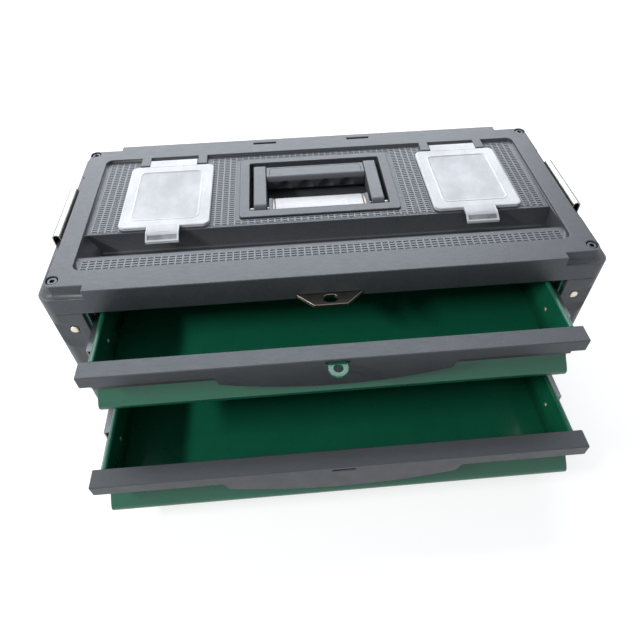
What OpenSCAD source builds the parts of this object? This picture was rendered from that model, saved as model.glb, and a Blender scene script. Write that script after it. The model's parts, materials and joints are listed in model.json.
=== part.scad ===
// Portable tool box with two steel drawers, a moulded cover with two organizer
// wells and a folding carry handle. Millimetres, +X right, +Y back, +Z up.
// The origin is the centre of the underside. The drawers stand part open.

/* [Case] */
// Width of the case, side to side
body_w = 508; // [470:1:600]
// Depth of the case, front to back
body_d = 231; // [225:1:280]
// Radius of the case's upright corners
corner_r = 12; // [9:1:16]
// Wall of the moulded case parts
wall = 3.5; // [2.5:0.1:4]
// Thickness of the sheet steel
steel = 1; // [0.8:0.1:1.2]
// Width of each corner post, seen from the front
post_w = 34; // [30:1:42]
// Depth of each corner post, seen from the side
post_d = 34; // [30:1:42]
// Overlap of the steel shell behind each post
shell_lap = 8; // [4:1:10]
// Overlap of the slide walls behind each post
rear_lap = 5.4; // [3:0.1:5.4]
// Height of the steel shell's edge inside the cover
shell_up = 3; // [2:0.1:3.5]

/* [Base] */
// Height of the base tray, which is the sill under the drawers
base_h = 23; // [20:1:40]
// Height of the narrower lower part of the base
base_step_h = 9.2; // [6:0.1:10]
// Width of the step around the base
base_step = 7.5; // [5:0.1:10]
// Corner radius of the narrower lower part
foot_r = 9; // [6:0.5:12]
// Thickness of the base floor
base_floor = 3; // [2:0.1:4]
// Thickness of the ribs on the base floor
rib_t = 3; // [2:0.1:5]
// Height of the steel floor above the ground
pan_z = 20; // [16:0.5:22]

/* [Cover] */
// Height of the cover over the drawer opening
cover_h = 27.5; // [27:0.1:40]
// Drop from the cover's top to the ledge around it
ledge_drop = 9.2; // [6:0.1:10]
// Width of the ledge around the cover
ledge_w = 7.5; // [5:0.1:8]
// Width of each corner notch in the front and rear edges
notch_w = 41; // [34:1:60]
// Corner radius of the raised top
rim_r = 6.5; // [6:0.5:12]
// Side margin of the sunken field
field_side = 28; // [26:1:40]
// Front margin of the sunken field
field_front = 27.5; // [24:0.5:30]
// Rear margin of the sunken field
field_rear = 27; // [24:0.5:34]
// Depth of the sunken field
field_depth = 3.5; // [2:0.1:5]
// Corner radius of the sunken field
field_r = 7; // [3:0.5:12]
// Thickness of the cover under the field
deck_t = 3; // [2:0.1:4]
// Depth of the relief in the cover's sides beside the latches
relief_t = 1.5; // [0.5:0.1:2]
// Length of that relief
relief_len = 117; // [100:1:140]
// Length of each slot in the cover's rear edge
slot_len = 25; // [15:1:35]
// Width of each slot in the cover's rear edge
slot_w = 3; // [2:0.1:5]
// Depth of each slot in the cover's rear edge
slot_deep = 5; // [2:0.5:6]
// Distance of the slots from the rear edge
slot_inset = 8.5; // [7:0.5:12]
// Distance of each slot's centre from the middle of the cover
slot_x = 53; // [40:1:80]

/* [Trough] */
// Distance of the trough's back edge from the case front
trough_back = 79.5; // [75:0.5:82]
// Distance of the trough's front edge from the case front
trough_front = 45.5; // [36:0.5:50]
// Depth of the trough below the field
trough_depth = 18; // [10:0.5:20]
// Width of the trough's flat bottom
trough_floor = 6; // [5:0.5:10]
// Lean of the trough's back wall
trough_rake = 4; // [0:0.5:6]
// Thickness of the trough's sloped front, level with the field
trough_skin = 3; // [2:0.5:3]
// Slope of the trough's left end
trough_slope = 12; // [2:1:20]

/* [Cover screws] */
// Distance of the screws from the case sides
screw_side = 13.5; // [13:0.5:14]
// Distance of the front screws from the case front
screw_front = 16.5; // [14:0.5:18]
// Distance of the rear screws from the case back
screw_rear = 13.5; // [13:0.5:16]
// Radius of the screw shank
screw_r = 2.5; // [1.5:0.1:3]
// Clearance of the screws in the cover, on the radius
screw_fit = 0.2; // [0.1:0.05:0.4]
// Length of the screw shank
screw_len = 40; // [36:1:60]
// Radius of the screw head
head_r = 4.3; // [4:0.1:4.6]
// Height of the screw head
head_h = 4.5; // [3:0.1:5]
// Radius of the counterbore
sink_r = 5.2; // [4.8:0.1:5.4]
// Depth of the counterbore
sink_depth = 5.5; // [4.5:0.1:6]
// Width across flats of the hexagon socket
hex_af = 4; // [3:0.1:4.5]
// Depth of the hexagon socket
hex_deep = 2.5; // [1.5:0.1:2.8]
// Thickness of the webs that carry the screw bosses
web_t = 3; // [2:0.5:4]
// Radius of the boss around each screw
boss_r = 6; // [5:0.1:6.5]

/* [Post pockets] */
// Depth of the pocket in each front post
pocket_depth = 4; // [2:0.1:5]
// Height of the pocket
pocket_h = 31; // [20:1:40]
// Distance from the pocket's top to the cover
pocket_drop = 12.5; // [8:0.5:20]
// Distance from the pocket to the post's inner edge
pocket_inset = 9; // [8:0.5:12]
// Height of the slope at the pocket's foot
pocket_ramp = 8; // [3:0.5:14]
// Corner radius of the pocket
pocket_r = 7; // [3:0.5:9]
// Distance of the rivet from the pocket's inner edge
rivet_in = 6.5; // [5:0.5:8]
// Distance of the rivet below the pocket's top
rivet_down = 11.5; // [6:0.5:12]
// Radius of the rivet head in the pocket
rivet_head_r = 4; // [3:0.1:5]
// Height of the rivet head
rivet_head_h = 1.6; // [1:0.1:2.5]
// Radius of the rivet shank
rivet_r = 1.8; // [1:0.1:2.5]

/* [Lids] */
// Width of each organizer lid
lid_w = 87; // [74:1:94]
// Distance of the lid's rear edge from the back of the field
lid_rear = 17.5; // [14:0.5:22]
// Distance of each lid's centre from the case's side
lid_side = 100.5; // [96:0.5:106]
// Shift of both lids towards the right
lid_shift = 1.5; // [0:0.5:3]
// Distance of the lid's front edge behind the trough
lid_front = 2.5; // [1:0.5:6]
// Height of the lid's rim
lid_h = 3.7; // [3:0.1:5]
// Thickness of the lid's clear window
lid_t = 1.2; // [0.8:0.1:1.5]
// Width of the lid's outer rim
lid_rim = 1.8; // [1:0.1:3]
// Width of the flat frame around the lid's window
lid_frame = 12; // [8:0.5:16]
// Depth of the lid's window below its frame
lid_sink = 0.8; // [0.3:0.1:1]
// Corner radius of the lid's window
window_r = 4; // [2:0.5:8]
// Corner radius of the lid
lid_r = 6; // [3:0.5:10]
// Gap between the lid and the field
lid_gap = 0.3; // [0.2:0.05:0.5]
// Width of the lid's front tab
tab_w = 31; // [20:1:40]
// Length of the lid's front tab
tab_len = 18; // [14:1:22]
// Thickness of the lid's front tab
tab_t = 2; // [1:0.1:2.5]
// Drop of the tab's end over the trough
tab_fall = 4; // [0:0.5:6]
// Width of the lid's hinge barrel
hinge_w = 50; // [30:1:60]
// Radius of the hinge barrel
hinge_r = 1.8; // [1.6:0.1:1.9]
// Distance of the hinge axis behind the lid
hinge_back = 10; // [8:0.5:12.5]
// Radius of the hinge stubs
stub_r = 0.9; // [0.7:0.1:1]
// Length of the hinge stubs
stub_len = 3; // [2:0.1:4]
// Width of the lugs that hold the stubs
lug_w = 10.5; // [5:0.5:14]
// Gap between the lugs and the lid's rear edge
lug_back = 2; // [1:0.1:4]
// Running clearance of the hinge stubs, on the radius
stub_fit = 0.06; // [0.02:0.01:0.1]
// Margin of the organizer well inside the lid
well_margin = 5; // [3.5:0.5:8]
// Corner radius of the organizer wells
well_r = 4; // [2:0.5:8]
// Depth of the organizer wells below the field
well_depth = 19.5; // [12:0.5:20]
// Thickness of the wells' and the trough's walls
well_t = 2; // [1.5:0.1:2.5]

/* [Handle housing] */
// Width of the housing's frame
frame_w = 160; // [150:1:170]
// Distance of the frame's front edge from the case front
housing_front = 90; // [88:0.5:94]
// Distance of the frame's rear edge from the back of the field
frame_rear = 11.5; // [4:0.5:20]
// Corner radius of the frame
frame_r = 4; // [2:0.5:6]
// Height of the frame over the field
frame_t = 2; // [1:0.1:3]
// Width of the pocket for the handle
bay_w = 140; // [134:1:144]
// Margin of the frame at the front of the pocket
bay_front = 10; // [8:0.5:12]
// Margin of the frame at the back of the pocket
bay_rear = 8.5; // [7:0.5:10]
// Corner radius of the pocket
bay_r = 2; // [1:0.5:4]
// Depth of the pocket below the field
bay_depth = 19.5; // [19:0.5:20]
// Thickness of the pocket's walls
bay_t = 2; // [1.5:0.1:2.5]
// Clearance between the housing and the cover
bay_fit = 0.2; // [0.1:0.05:0.4]
// Distance of the pivot block behind the pocket's front
block_in = 1; // [0.5:0.5:3]
// Depth of the pivot block
block_d = 19.5; // [16:0.5:20]
// Thickness of the nameplate
plate_t = 1.2; // [0.8:0.1:2]
// Width of the cap at each end of the nameplate
cap_w = 3.5; // [2:0.1:6]
// Height of the caps over the nameplate
cap_rise = 0.3; // [0.1:0.1:0.6]
// Depth of the nameplate's face below the frame
plate_sink = 1.5; // [0.6:0.1:2]
// Margin of the nameplate in front of it and behind it
plate_margin = 1; // [0.5:0.5:3]

/* [Handle] */
// Width of each handle arm
arm_w = 13.5; // [10:0.5:14]
// Height of each handle arm
arm_h = 16; // [14:0.5:16]
// Gap between each arm and the pivot block
arm_gap = 2; // [1:0.1:3]
// Gap between each arm and the pocket's side
arm_side = 4; // [2:0.5:6]
// Gap between the arms' ends and the pocket's back
arm_rear = 6; // [4:0.5:12]
// Distance from the pocket's front to the pivot
pivot_in = 10.5; // [9:0.5:14]
// Height of the arms over the frame
arm_rise = 0; // [-1:0.1:1]
// Depth of the grip
grip_d = 25; // [18:0.5:26]
// Height of the grip
grip_h = 16; // [12:0.5:16]
// Distance from the arm's back end to the grip
grip_back = 0; // [0:0.1:3]
// Gap between the grip and each arm
grip_gap = 0.3; // [0.1:0.1:0.6]
// Corner radius of the grip
grip_r = 5.5; // [2:0.5:6]
// Number of finger scallops
scallops = 4; // [3:1:5]
// Distance between the scallops
scallop_pitch = 22; // [17:1:22]
// Radius of each scallop
scallop_r = 10; // [7:0.5:11]
// Depth of each scallop
scallop_depth = 4; // [1:0.5:4]
// Distance of the scallops' middles below the grip's middle
scallop_drop = 4; // [0:0.5:6]
// Radius of the bar inside the grip
bar_r = 4; // [2.5:0.1:4]
// Radius of the handle's pivot pins
pin_r = 2.5; // [1.5:0.1:3]
// Length of each pin inside the pivot block
pin_seat = 6; // [4:0.5:12]
// Running clearance of the pins in the arms, on the radius
pin_fit = 0.05; // [0.02:0.01:0.1]
// Clearance of the pins where they are pressed in, on the radius
pin_hold = 0.02; // [0.01:0.01:0.05]

/* [Side latches] */
// Length of each latch, front to back
latch_len = 78; // [60:1:90]
// Distance of the latch's middle behind the case's middle
latch_y = 2; // [-4:0.5:8]
// Height of the latch's pivot below the cover's top
latch_drop = 64; // [50:1:90]
// Thickness of the latch sheet
latch_t = 1.2; // [0.8:0.1:1.5]
// Gap between the latch and the case's side
latch_gap = 1.4; // [1:0.1:3]
// Width of the hook at the latch's top, side to side
hook_w = 8.3; // [6:0.1:8.6]
// Gap between the hook's end and the ledge
hook_gap = 0.3; // [0.2:0.1:1.5]
// Radius of the latch pin
latch_pin_r = 1.5; // [1:0.1:1.8]
// Reach of the pin past each end of the latch
pin_over = 0.5; // [0.2:0.1:1.5]
// Radius of the lug round each pin hole
latch_lug_r = 2.5; // [2.2:0.1:2.6]
// Gap between the latch pin's axis and the case's steel side
latch_pin_out = 3; // [2.8:0.1:3.2]
// Height of the latch bracket
bracket_h = 26; // [16:1:30]
// Width of each bracket knuckle
knuckle_w = 8; // [5:1:12]
// Gap between the knuckles and the latch's plate and ends
lug_gap = 1; // [0.5:0.1:2]

/* [Drawers] */
// Height of each drawer
drawer_h = 50; // [46:1:60]
// Gap between the upper drawer and the cover
drawer_top_gap = 1.9; // [1.5:0.1:3]
// Gap between the two drawers
drawer_between = 21.6; // [12:0.1:30]
// Gap between the divider rail and each drawer
divider_gap = 1.5; // [1:0.1:3]
// Depth of the divider rail
divider_d = 18; // [10:1:30]
// Distance of the divider rail behind the case front
divider_set = 2; // [1:0.5:10]
// Gap between the lower drawer and the sill
drawer_sill_gap = 2; // [1.5:0.1:4]
// Distance of each slide wall inside the post's edge
wall_reveal = 2.6; // [2:0.1:5]
// Gap between the drawer's box and the case's steel back, drawer shut
tray_rear = 8.5; // [3:0.5:14]
// Radius of the rolled edge along the top of the drawer's box
roll_r = 2.4; // [1.5:0.1:3]
// Reach of the rolled edge past the drawer's box
roll_out = 1.3; // [0.5:0.1:1.4]
// How far the upper drawer stands open
upper_open = 70; // [0:1:180]
// How far the lower drawer stands open
lower_open = 130; // [0:1:180]
// Gap between each end of the pull bar and the posts
bar_gap = 6.5; // [5:0.5:12]
// Depth of the pull bar's top
bar_depth = 17; // [16.5:0.5:20]
// Wall of the pull bar
bar_t = 2.5; // [2:0.1:3]
// Height of the pull bar's front at its ends
lip_h = 13.5; // [10:0.5:14]
// Width of the deep middle part of the front
dip_w = 208; // [140:1:260]
// Width of the slanted step beside the deep part
dip_step = 4; // [1:0.5:8]
// Height of the front just inside that step
dip_side = 23.5; // [18:0.5:28]
// Height of the front in the middle
dip_mid = 36; // [30:0.5:36.5]
// Distance of the pull bar's back web behind its front
web_set = 9.5; // [8:0.5:11]
// Height of the back web
web_h = 29.5; // [20:0.5:29.5]
// Distance between the ends of the back web and of the front
web_inset = 4; // [3.5:0.5:8]
// How far the steel front reaches past the drawer's box on each side
front_over = 2.3; // [0:0.1:2.6]
// Height at which the steel front starts to swell forward
swell_top = 30; // [29.5:0.5:33]
// Height at which the steel front is flush with the pull bar
swell_end = 44; // [40:0.5:44]
// Radius of the bend at the foot of the steel front
bend_r = 5; // [3:0.5:6]
// Reach of the steel front's foot under the drawer's box
foot_len = 15; // [8:0.5:20]
// Radius of the steel front's lower corners
front_r = 5; // [2:0.5:8]

/* [Slides] */
// Thickness of each ball-bearing slide
slide_t = 12.7; // [12.7:0.1:14]
// Height of each slide
slide_h = 36; // [34:0.5:42]
// Gap between the slides and the case's steel back
slide_rear = 12.5; // [11.5:0.5:30]
// Distance of the slides behind the case front
slide_set = 14; // [13.6:0.1:15]
// Depth of the slides' middle below the drawer's top
slide_drop = 25; // [24:0.5:27]
// Share of the drawer's travel that the middle rail makes
middle_share = 0.65; // [0.5:0.01:0.65]
// Sheet thickness of the rails
rail_t = 1.2; // [1:0.1:1.5]
// Gap between the drawer's box and the free edges of the outer and middle rails
rail_open = 3.5; // [3:0.1:4]
// Gap between the middle rail and its neighbours
middle_clear = 1; // [0.8:0.1:1.2]
// Radius of the bearing balls
ball_r = 1.5; // [1:0.1:1.5]
// Clearance of the balls to the rails
ball_gap = 0.3; // [0.3:0.05:0.5]
// Number of balls in a row
balls = 5; // [3:1:5]
// Distance between the balls
ball_pitch = 12; // [8:1:12]
// Length of each ball cage
cage_len = 60; // [58:1:64]
// Thickness of each ball cage
cage_t = 0.6; // [0.4:0.1:0.8]
// Width of each ball cage
cage_w = 4.5; // [4:0.1:4.5]
// Distance of the ball cages behind the rails' front ends, drawer shut
cage_set = 68; // [66:1:70]
// Distance of the first drawer rivet behind the drawer's front
drawer_rivet_y = 60; // [40:1:80]
// Distance between the drawer rivets
drawer_rivet_pitch = 110; // [80:1:110]
// Radius of the drawer rivets' heads
drawer_rivet_head = 2.1; // [1.5:0.1:3]
// Height of the drawer rivets' heads
rivet_cap = 0.8; // [0.5:0.1:1.2]
// Radius of the drawer rivets' shanks
drawer_rivet_r = 1.2; // [0.8:0.1:1.4]

/* [Padlock] */
// Width of the lock plate at the cover
lock_w = 59.5; // [40:0.5:80]
// Width of the lock plate's front edge
lock_front_w = 29.5; // [20:0.5:36]
// Reach of the lock plate in front of the cover
lock_out = 14; // [12:0.5:20]
// Thickness of the lock plate
lock_t = 4; // [2:0.1:4]
// Height of the lock plate over the cover's lower edge
lock_z = 1; // [0.5:0.1:2]
// Clearance of the lock plate in the cover
lock_fit = 0.1; // [0.05:0.05:0.2]
// Height of the lock plate's tail inside the cover
lock_tail = 6; // [3:0.5:8]
// Thickness of that tail
tail_t = 2; // [1:0.1:3]
// Margin of the tail at each side
tail_inset = 5; // [2:0.5:8]
// Distance of the padlock holes in front of the case
eye_out = 6.2; // [5.5:0.1:7]
// Radius of the ends of the lock plate's hole
lock_eye_r = 4.4; // [3.5:0.1:5]
// Stretch of the lock plate's hole
lock_eye_long = 4; // [1:0.1:6]
// Radius of the hole in the padlock tab
eye_r = 4; // [3:0.1:4.5]
// Half the width of the padlock tab
tongue_r = 8.4; // [7:0.1:9]
// Thickness of the padlock tab
tongue_t = 2; // [1:0.1:2.5]
// Depth of the padlock tab below the drawer's top
tongue_drop = 3.8; // [3:0.1:5]
// Clearance of the tab in the pull bar's slot
tongue_fit = 0.2; // [0.1:0.05:0.4]
// Half the length of the slot in the pull bars
bar_slot = 9.9; // [9.4:0.1:12]

/* [Hidden] */
$fn = 48;

plastic = "#3b3d42";
dark_steel = "#26282b";
green = "#0f6b45";
zinc = "#b9bcc0";
milky = "#dfe4e8";
brass = "#c9a35a";

cut = 1;
front_y = -body_d / 2;
back_y = body_d / 2;
side_x = body_w / 2;

lower_bottom = base_h + drawer_sill_gap;
lower_top = lower_bottom + drawer_h;
upper_bottom = lower_top + drawer_between;
upper_top = upper_bottom + drawer_h;
cover_z = upper_top + drawer_top_gap;
top_z = cover_z + cover_h;
ledge_z = top_z - ledge_drop;
field_z = top_z - field_depth;

post_x = side_x - post_w;
slide_x = post_x - wall_reveal;
tray_x = slide_x - slide_t;
bar_x = post_x - bar_gap;
skin_x = side_x - wall;
skin_back = back_y - wall;

trough_back_y = front_y + trough_back;
trough_front_y = front_y + trough_front;
trough_z = field_z - trough_depth;
field_x = side_x - field_side;
field_back_y = back_y - field_rear;

sink_z = top_z - sink_depth;
pocket_top = cover_z - pocket_drop;
pocket_x = post_x + pocket_inset;
rivet_x = pocket_x + rivet_in;
rivet_z = pocket_top - rivet_down;

lid_x = side_x - lid_side;
lid_front_y = trough_back_y + lid_front;
lid_d = field_back_y - lid_rear - lid_front_y;
lid_y = lid_front_y + lid_d / 2;
lid_z = field_z + lid_gap;
hinge_y = field_back_y - lid_rear + hinge_back;
hinge_z = field_z + hinge_r + lid_gap;

frame_y = front_y + housing_front;
frame_d = field_back_y - frame_rear - frame_y;
bay_y = frame_y + bay_front;
bay_d = frame_d - bay_front - bay_rear;
bay_z = field_z - bay_depth;
frame_z = field_z + frame_t;
block_y = bay_y + block_in;
block_w = bay_w - 2 * (arm_side + arm_w + arm_gap);
arm_x = block_w / 2 + arm_gap;
arm_len = bay_d - pivot_in - arm_rear;
pivot_y = bay_y + pivot_in;
arm_top = frame_z + arm_rise;
pivot_z = arm_top - arm_h / 2;
block_top = frame_z - plate_sink - plate_t;
cap_top = block_top + plate_t + cap_rise;
grip_y = pivot_y + arm_len - grip_back - grip_d / 2;
grip_z = pivot_z;

latch_z = top_z - latch_drop;
latch_pin_x = skin_x + latch_pin_out;
latch_x = side_x + latch_gap;
latch_end = latch_y - latch_len / 2;

lock_bottom = cover_z + lock_z;

slide_len = body_d - wall - steel - slide_rear - slide_set;
ball_slot = 2 * (ball_r + ball_gap);
middle_h = slide_h - 2 * (rail_t + ball_slot);
inner_h = middle_h - 2 * (rail_t + ball_slot);
profile_steps = 12;

// Rectangle with rounded corners, centred
module rounded_rect(w, d, r) {
    square([w - 2 * r, d], center = true);
    square([w, d - 2 * r], center = true);
    for (sx = [-1, 1], sy = [-1, 1])
        translate([sx * (w / 2 - r), sy * (d / 2 - r)])
            circle(r);
}

// Upright block with rounded corners, standing on z
module rounded_block(w, d, z, h, r) {
    translate([0, 0, z])
        linear_extrude(h)
            rounded_rect(w, d, r);
}

// Box between two corners
module span(a, b) {
    translate(a)
        cube(b - a);
}

// Extrudes a profile drawn as [y, z] along X, centred
module along_x(len) {
    translate([-len / 2, 0, 0])
        rotate([90, 0, 90])
            linear_extrude(len)
                children();
}

// Extrudes a profile drawn as [x, z] along +Y
module along_y(len) {
    translate([0, len, 0])
        rotate([90, 0, 0])
            linear_extrude(len)
                children();
}

// Cylinder along X between two places
module rod_x(x1, x2, r) {
    translate([x1, 0, 0])
        rotate([0, 90, 0])
            cylinder(h = x2 - x1, r = r);
}

// Cylinder along Y between two places
module rod_y(y1, y2, r) {
    translate([0, y2, 0])
        rotate([90, 0, 0])
            cylinder(h = y2 - y1, r = r);
}

// Mirrors its children to the side: 1 is right, -1 is left
module on_side(side) {
    mirror([side < 0 ? 1 : 0, 0, 0])
        children();
}

// ---------------------------------------------------------------- case

module base_tray() {
    low_w = body_w - 2 * base_step;
    low_d = body_d - 2 * base_step;
    well_w = low_w - 2 * wall;
    well_d = low_d - 2 * wall;
    shelf = base_step_h + wall;
    color(plastic)
        union() {
            difference() {
                union() {
                    rounded_block(low_w, low_d, 0, base_step_h + wall, foot_r);
                    rounded_block(body_w, body_d, base_step_h, base_h - base_step_h, corner_r);
                }
                rounded_block(well_w, well_d, base_floor, base_h, foot_r - wall);
                rounded_block(body_w - 2 * wall, body_d - 2 * wall, shelf, base_h, corner_r - wall);
            }
            for (side = [-1, 1])
                translate([side * well_w / 6 - rib_t / 2, -well_d / 2 - cut, base_floor - cut])
                    cube([rib_t, well_d + 2 * cut, pan_z - base_floor + cut]);
        }
}

module cabinet_shell() {
    side_y = back_y - post_d + shell_lap;
    rear_x = post_x + shell_lap;
    shell_top = cover_z + shell_up;
    color(green)
        union() {
            rounded_block(2 * skin_x, 2 * skin_back, pan_z, steel, corner_r - wall);
            for (side = [-1, 1])
                on_side(side)
                    span([skin_x - steel, -side_y, pan_z], [skin_x, side_y, shell_top]);
            span([-rear_x, skin_back - steel, pan_z], [rear_x, skin_back, shell_top]);
        }
}

// Inner steel wall that carries the slides
module slide_wall(side) {
    z1 = pan_z + steel;
    z2 = cover_z + shell_up;
    lap_x = post_x + rear_lap;
    shelf_y = back_y - post_d;
    color(green)
        on_side(side)
            union() {
                span([slide_x, -skin_back, z1], [slide_x + steel, skin_back - steel, z2]);
                span([slide_x, -skin_back, z1], [lap_x, -skin_back + steel, cover_z]);
                span([slide_x, skin_back - 2 * steel, z1], [lap_x, skin_back - steel, z2]);
                for (z = [z1, z2 - steel])
                    span([slide_x, -shelf_y, z], [skin_x - steel, shelf_y, z + steel]);
            }
}
module left_slide_wall() { slide_wall(-1); }
module right_slide_wall() { slide_wall(1); }

// Cross rail between the two drawers
module divider_rail() {
    z1 = lower_top + divider_gap;
    z2 = upper_bottom - divider_gap;
    y1 = front_y + divider_set;
    color(green)
        union() {
            span([-slide_x, y1, z1], [slide_x, y1 + steel, z2]);
            for (z = [z1, z2 - steel])
                span([-slide_x, y1, z], [slide_x, y1 + divider_d, z + steel]);
        }
}

// Corner of the case's outline
module corner_outline() {
    intersection() {
        rounded_rect(body_w, body_d, corner_r);
        translate([post_x, back_y - post_d])
            square([post_w, post_d]);
    }
}

// Post at the right rear; front posts are mirrored to the front
module post(side, is_front) {
    inset = is_front ? screw_front : screw_rear;
    post_h = cover_z - base_h;
    boss = [side_x - screw_side, back_y - inset];
    color(plastic)
        on_side(side)
            mirror([0, is_front ? 1 : 0, 0])
                difference() {
                    union() {
                        translate([0, 0, base_h])
                            linear_extrude(post_h)
                                difference() {
                                    corner_outline();
                                    rounded_rect(body_w - 2 * wall, body_d - 2 * wall, corner_r - wall);
                                }
                        translate([boss[0], boss[1], base_h])
                            cylinder(h = post_h, r = boss_r);
                        span([boss[0], boss[1] - web_t / 2, base_h], [side_x - wall / 2, boss[1] + web_t / 2, cover_z]);
                        span([boss[0] - web_t / 2, boss[1], base_h], [boss[0] + web_t / 2, back_y - wall / 2, cover_z]);
                        if (is_front)
                            pocket_shape(pocket_depth + wall, wall, true);
                    }
                    translate([boss[0], boss[1], sink_z - screw_len - cut])
                        cylinder(h = screw_len + cut, r = screw_r + pin_fit);
                    if (is_front) {
                        pocket_shape(pocket_depth, 0, false);
                        translate([rivet_x, 0, rivet_z])
                            rod_y(back_y - pocket_depth - wall - cut, back_y, rivet_r + pin_fit);
                    }
                }
}

// Hollow in the post's face, t deep and grown by a margin, with a sloped foot.
// It runs out on the post's round corner; the backing is cut to the outline.
module pocket_shape(t, grow, backing) {
    low = pocket_top - pocket_h - grow;
    high = pocket_top + grow;
    x1 = pocket_x - grow;
    r = pocket_r + grow;
    intersection() {
        translate([0, back_y - t - cut, 0])
            along_y(t + 3 * cut)
                translate([x1 + side_x, (low + high) / 2])
                    rounded_rect(2 * side_x, high - low, r);
        along_x(2 * body_w)
            polygon([
                [back_y + cut, high + cut],
                [back_y - t, high + cut],
                [back_y - t, low + (backing ? 0 : pocket_ramp)],
                [back_y, low],
                [back_y + cut, low]
            ]);
        if (backing)
            translate([0, 0, low - cut])
                linear_extrude(high - low + 2 * cut)
                    rounded_rect(body_w, body_d, corner_r);
    }
}
module front_left_post() { post(-1, true); }
module front_right_post() { post(1, true); }
module rear_left_post() { post(-1, false); }
module rear_right_post() { post(1, false); }

module post_rivets() {
    face = front_y + pocket_depth;
    color(zinc)
        for (side = [-1, 1])
            on_side(side)
                translate([rivet_x, 0, rivet_z])
                    union() {
                        rod_y(face - rivet_head_h, face, rivet_head_r);
                        rod_y(face - rivet_head_h / 2, face + wall, rivet_r);
                    }
}

// ---------------------------------------------------------------- cover

// Outline of the raised top: set in all round, full depth between the notches
module plateau_outline() {
    difference() {
        union() {
            rounded_rect(body_w - 2 * ledge_w, body_d - 2 * ledge_w, rim_r);
            square([body_w - 2 * notch_w, body_d], center = true);
        }
        for (side = [-1, 1])
            translate([side * (side_x - ledge_w), 0])
                square([2 * relief_t, relief_len], center = true);
    }
}

// The four screw places
module at_screws() {
    for (side = [-1, 1]) {
        translate([side * (side_x - screw_side), front_y + screw_front, 0])
            children();
        translate([side * (side_x - screw_side), back_y - screw_rear, 0])
            children();
    }
}

// Profile of the trough, grown by t and in front by skin, with its mouth raised by up
module trough_profile(t, skin, up) {
    polygon([
        [trough_back_y + t, field_z + up],
        [trough_back_y - trough_rake + t, trough_z - t],
        [trough_back_y - trough_rake - trough_floor - t, trough_z - t],
        [trough_front_y - skin, field_z + up]
    ]);
}

module trough_space() {
    half = field_x;
    difference() {
        along_x(2 * half)
            trough_profile(0, 0, cut);
        translate([0, trough_front_y - cut, 0])
            along_y(trough_back_y - trough_front_y + 2 * cut)
                polygon([
                    [-half - cut, field_z],
                    [-half, field_z],
                    [-half + trough_slope, trough_z],
                    [-half + trough_slope, trough_z - cut],
                    [-half - cut, trough_z - cut]
                ]);
    }
}

function lid_centre(side) = side * lid_x + lid_shift;
function well_w() = lid_w - 2 * well_margin;
function well_d() = lid_d - 2 * well_margin;

// Lugs from the rear rim that hold a lid's hinge stubs
module hinge_lugs() {
    inner = hinge_w / 2 + lid_gap;
    for (side = [-1, 1])
        on_side(side)
            difference() {
                span([inner, hinge_y - hinge_back + lug_back, field_z - cut],
                     [inner + lug_w, field_back_y + cut, top_z]);
                translate([0, hinge_y, hinge_z])
                    rod_x(inner - cut, hinge_w / 2 + stub_len + lid_gap, stub_r + stub_fit);
            }
}

module top_cover() {
    skirt_h = cover_h - ledge_drop;
    mid_y = (field_front - field_rear) / 2;
    field_d = body_d - field_front - field_rear;
    top_w = body_w - 2 * (ledge_w + wall);
    top_d = body_d - 2 * (ledge_w + wall);
    deck_z = field_z - deck_t;
    color(plastic)
        union() {
            difference() {
                union() {
                    difference() {
                        union() {
                            rounded_block(body_w, body_d, cover_z, skirt_h, corner_r);
                            translate([0, 0, ledge_z - cut])
                                linear_extrude(ledge_drop + cut)
                                    plateau_outline();
                        }
                        rounded_block(body_w - 2 * wall, body_d - 2 * wall, cover_z - cut,
                                      skirt_h - wall + cut, corner_r - wall);
                        rounded_block(top_w, top_d, cover_z - cut, deck_z - cover_z + cut, rim_r - wall);
                    }
                    along_x(2 * (field_x + well_t))
                        trough_profile(well_t, trough_skin, -deck_t / 2);
                    for (side = [-1, 1])
                        translate([lid_centre(side), lid_y, 0])
                            rounded_block(well_w() + 2 * well_t, well_d() + 2 * well_t,
                                          field_z - well_depth - well_t, well_depth, well_r + well_t);
                    at_screws()
                        translate([0, 0, cover_z])
                            cylinder(h = sink_z - cover_z, r = boss_r);
                }
                translate([0, mid_y, 0])
                    rounded_block(2 * field_x, field_d, field_z, field_depth + cut, field_r);
                trough_space();
                for (side = [-1, 1])
                    translate([lid_centre(side), lid_y, 0])
                        rounded_block(well_w(), well_d(), field_z - well_depth, well_depth + cut, well_r);
                translate([0, bay_y + bay_d / 2, 0])
                    rounded_block(bay_w + 2 * (bay_t + bay_fit), bay_d + 2 * (bay_t + bay_fit),
                                  cover_z - cut, cover_h, bay_r + bay_t + bay_fit);
                at_screws() {
                    translate([0, 0, sink_z])
                        cylinder(h = sink_depth + cut, r = sink_r);
                    translate([0, 0, cover_z - cut])
                        cylinder(h = cover_h, r = screw_r + screw_fit);
                }
                for (side = [-1, 1])
                    translate([side * slot_x, back_y - slot_inset, top_z - slot_deep / 2])
                        cube([slot_len, slot_w, slot_deep + cut], center = true);
                span([-lock_w / 2 - lock_fit, front_y - cut, cover_z - cut],
                     [lock_w / 2 + lock_fit, front_y + wall + cut, lock_bottom + lock_t + lock_fit]);
            }
            for (side = [-1, 1])
                translate([lid_centre(side), 0, 0])
                    hinge_lugs();
        }
}

module cover_screws() {
    color(dark_steel)
        at_screws()
            difference() {
                union() {
                    translate([0, 0, sink_z])
                        cylinder(h = head_h, r = head_r);
                    translate([0, 0, sink_z - screw_len + cut])
                        cylinder(h = screw_len, r = screw_r);
                }
                translate([0, 0, sink_z + head_h - hex_deep])
                    cylinder(h = hex_deep + cut, r = hex_af / sqrt(3), $fn = 6);
            }
}

// ---------------------------------------------------------------- lids

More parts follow.
